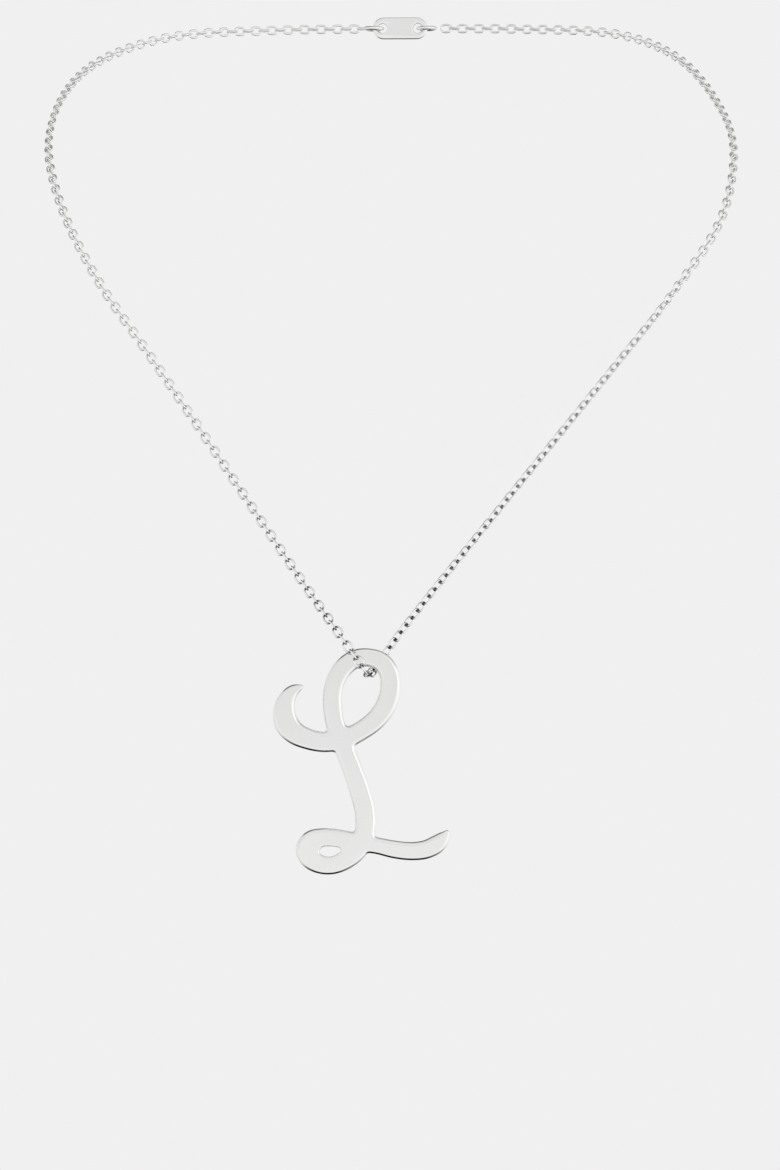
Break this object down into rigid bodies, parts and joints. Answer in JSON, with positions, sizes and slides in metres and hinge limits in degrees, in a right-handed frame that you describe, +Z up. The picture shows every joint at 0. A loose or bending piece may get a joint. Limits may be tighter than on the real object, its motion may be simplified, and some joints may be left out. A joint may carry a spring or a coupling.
{
  "type": "initial pendant necklace",
  "caption": "Script capital L pendant cut from polished silver plate, hung by its upper loop on a fine oval-link chain that closes at the nape with a plain clasp.",
  "frame": {"origin": "the nape: the middle of the clasp's back face, where it rests on the back of the neck", "axes": "+Z up, the letter's face looks along -Y, +X is the wearer's left, millimetres in the source and metres in the row"},
  "size_m": [0.1213, 0.1194, 0.1523],
  "materials": {
    "silver": "sterling silver, polished, with rounded edges",
    "chain_silver": "sterling silver wire, polished"
  },
  "bodies": {
    "necklace": {"chain": "chain_silver", "clasp": "silver", "clasp_ring": "silver", "end_ring": "silver"},
    "pendant": {"letter": "silver"}
  },
  "joints": [
    {"name": "pendant_swing", "type": "hinge", "parent": "necklace", "child": "pendant", "pos_m": [0.0007, -0.114, -0.1175], "axis": [0, 1, 0], "range_deg": [-40, 40]}
  ]
}
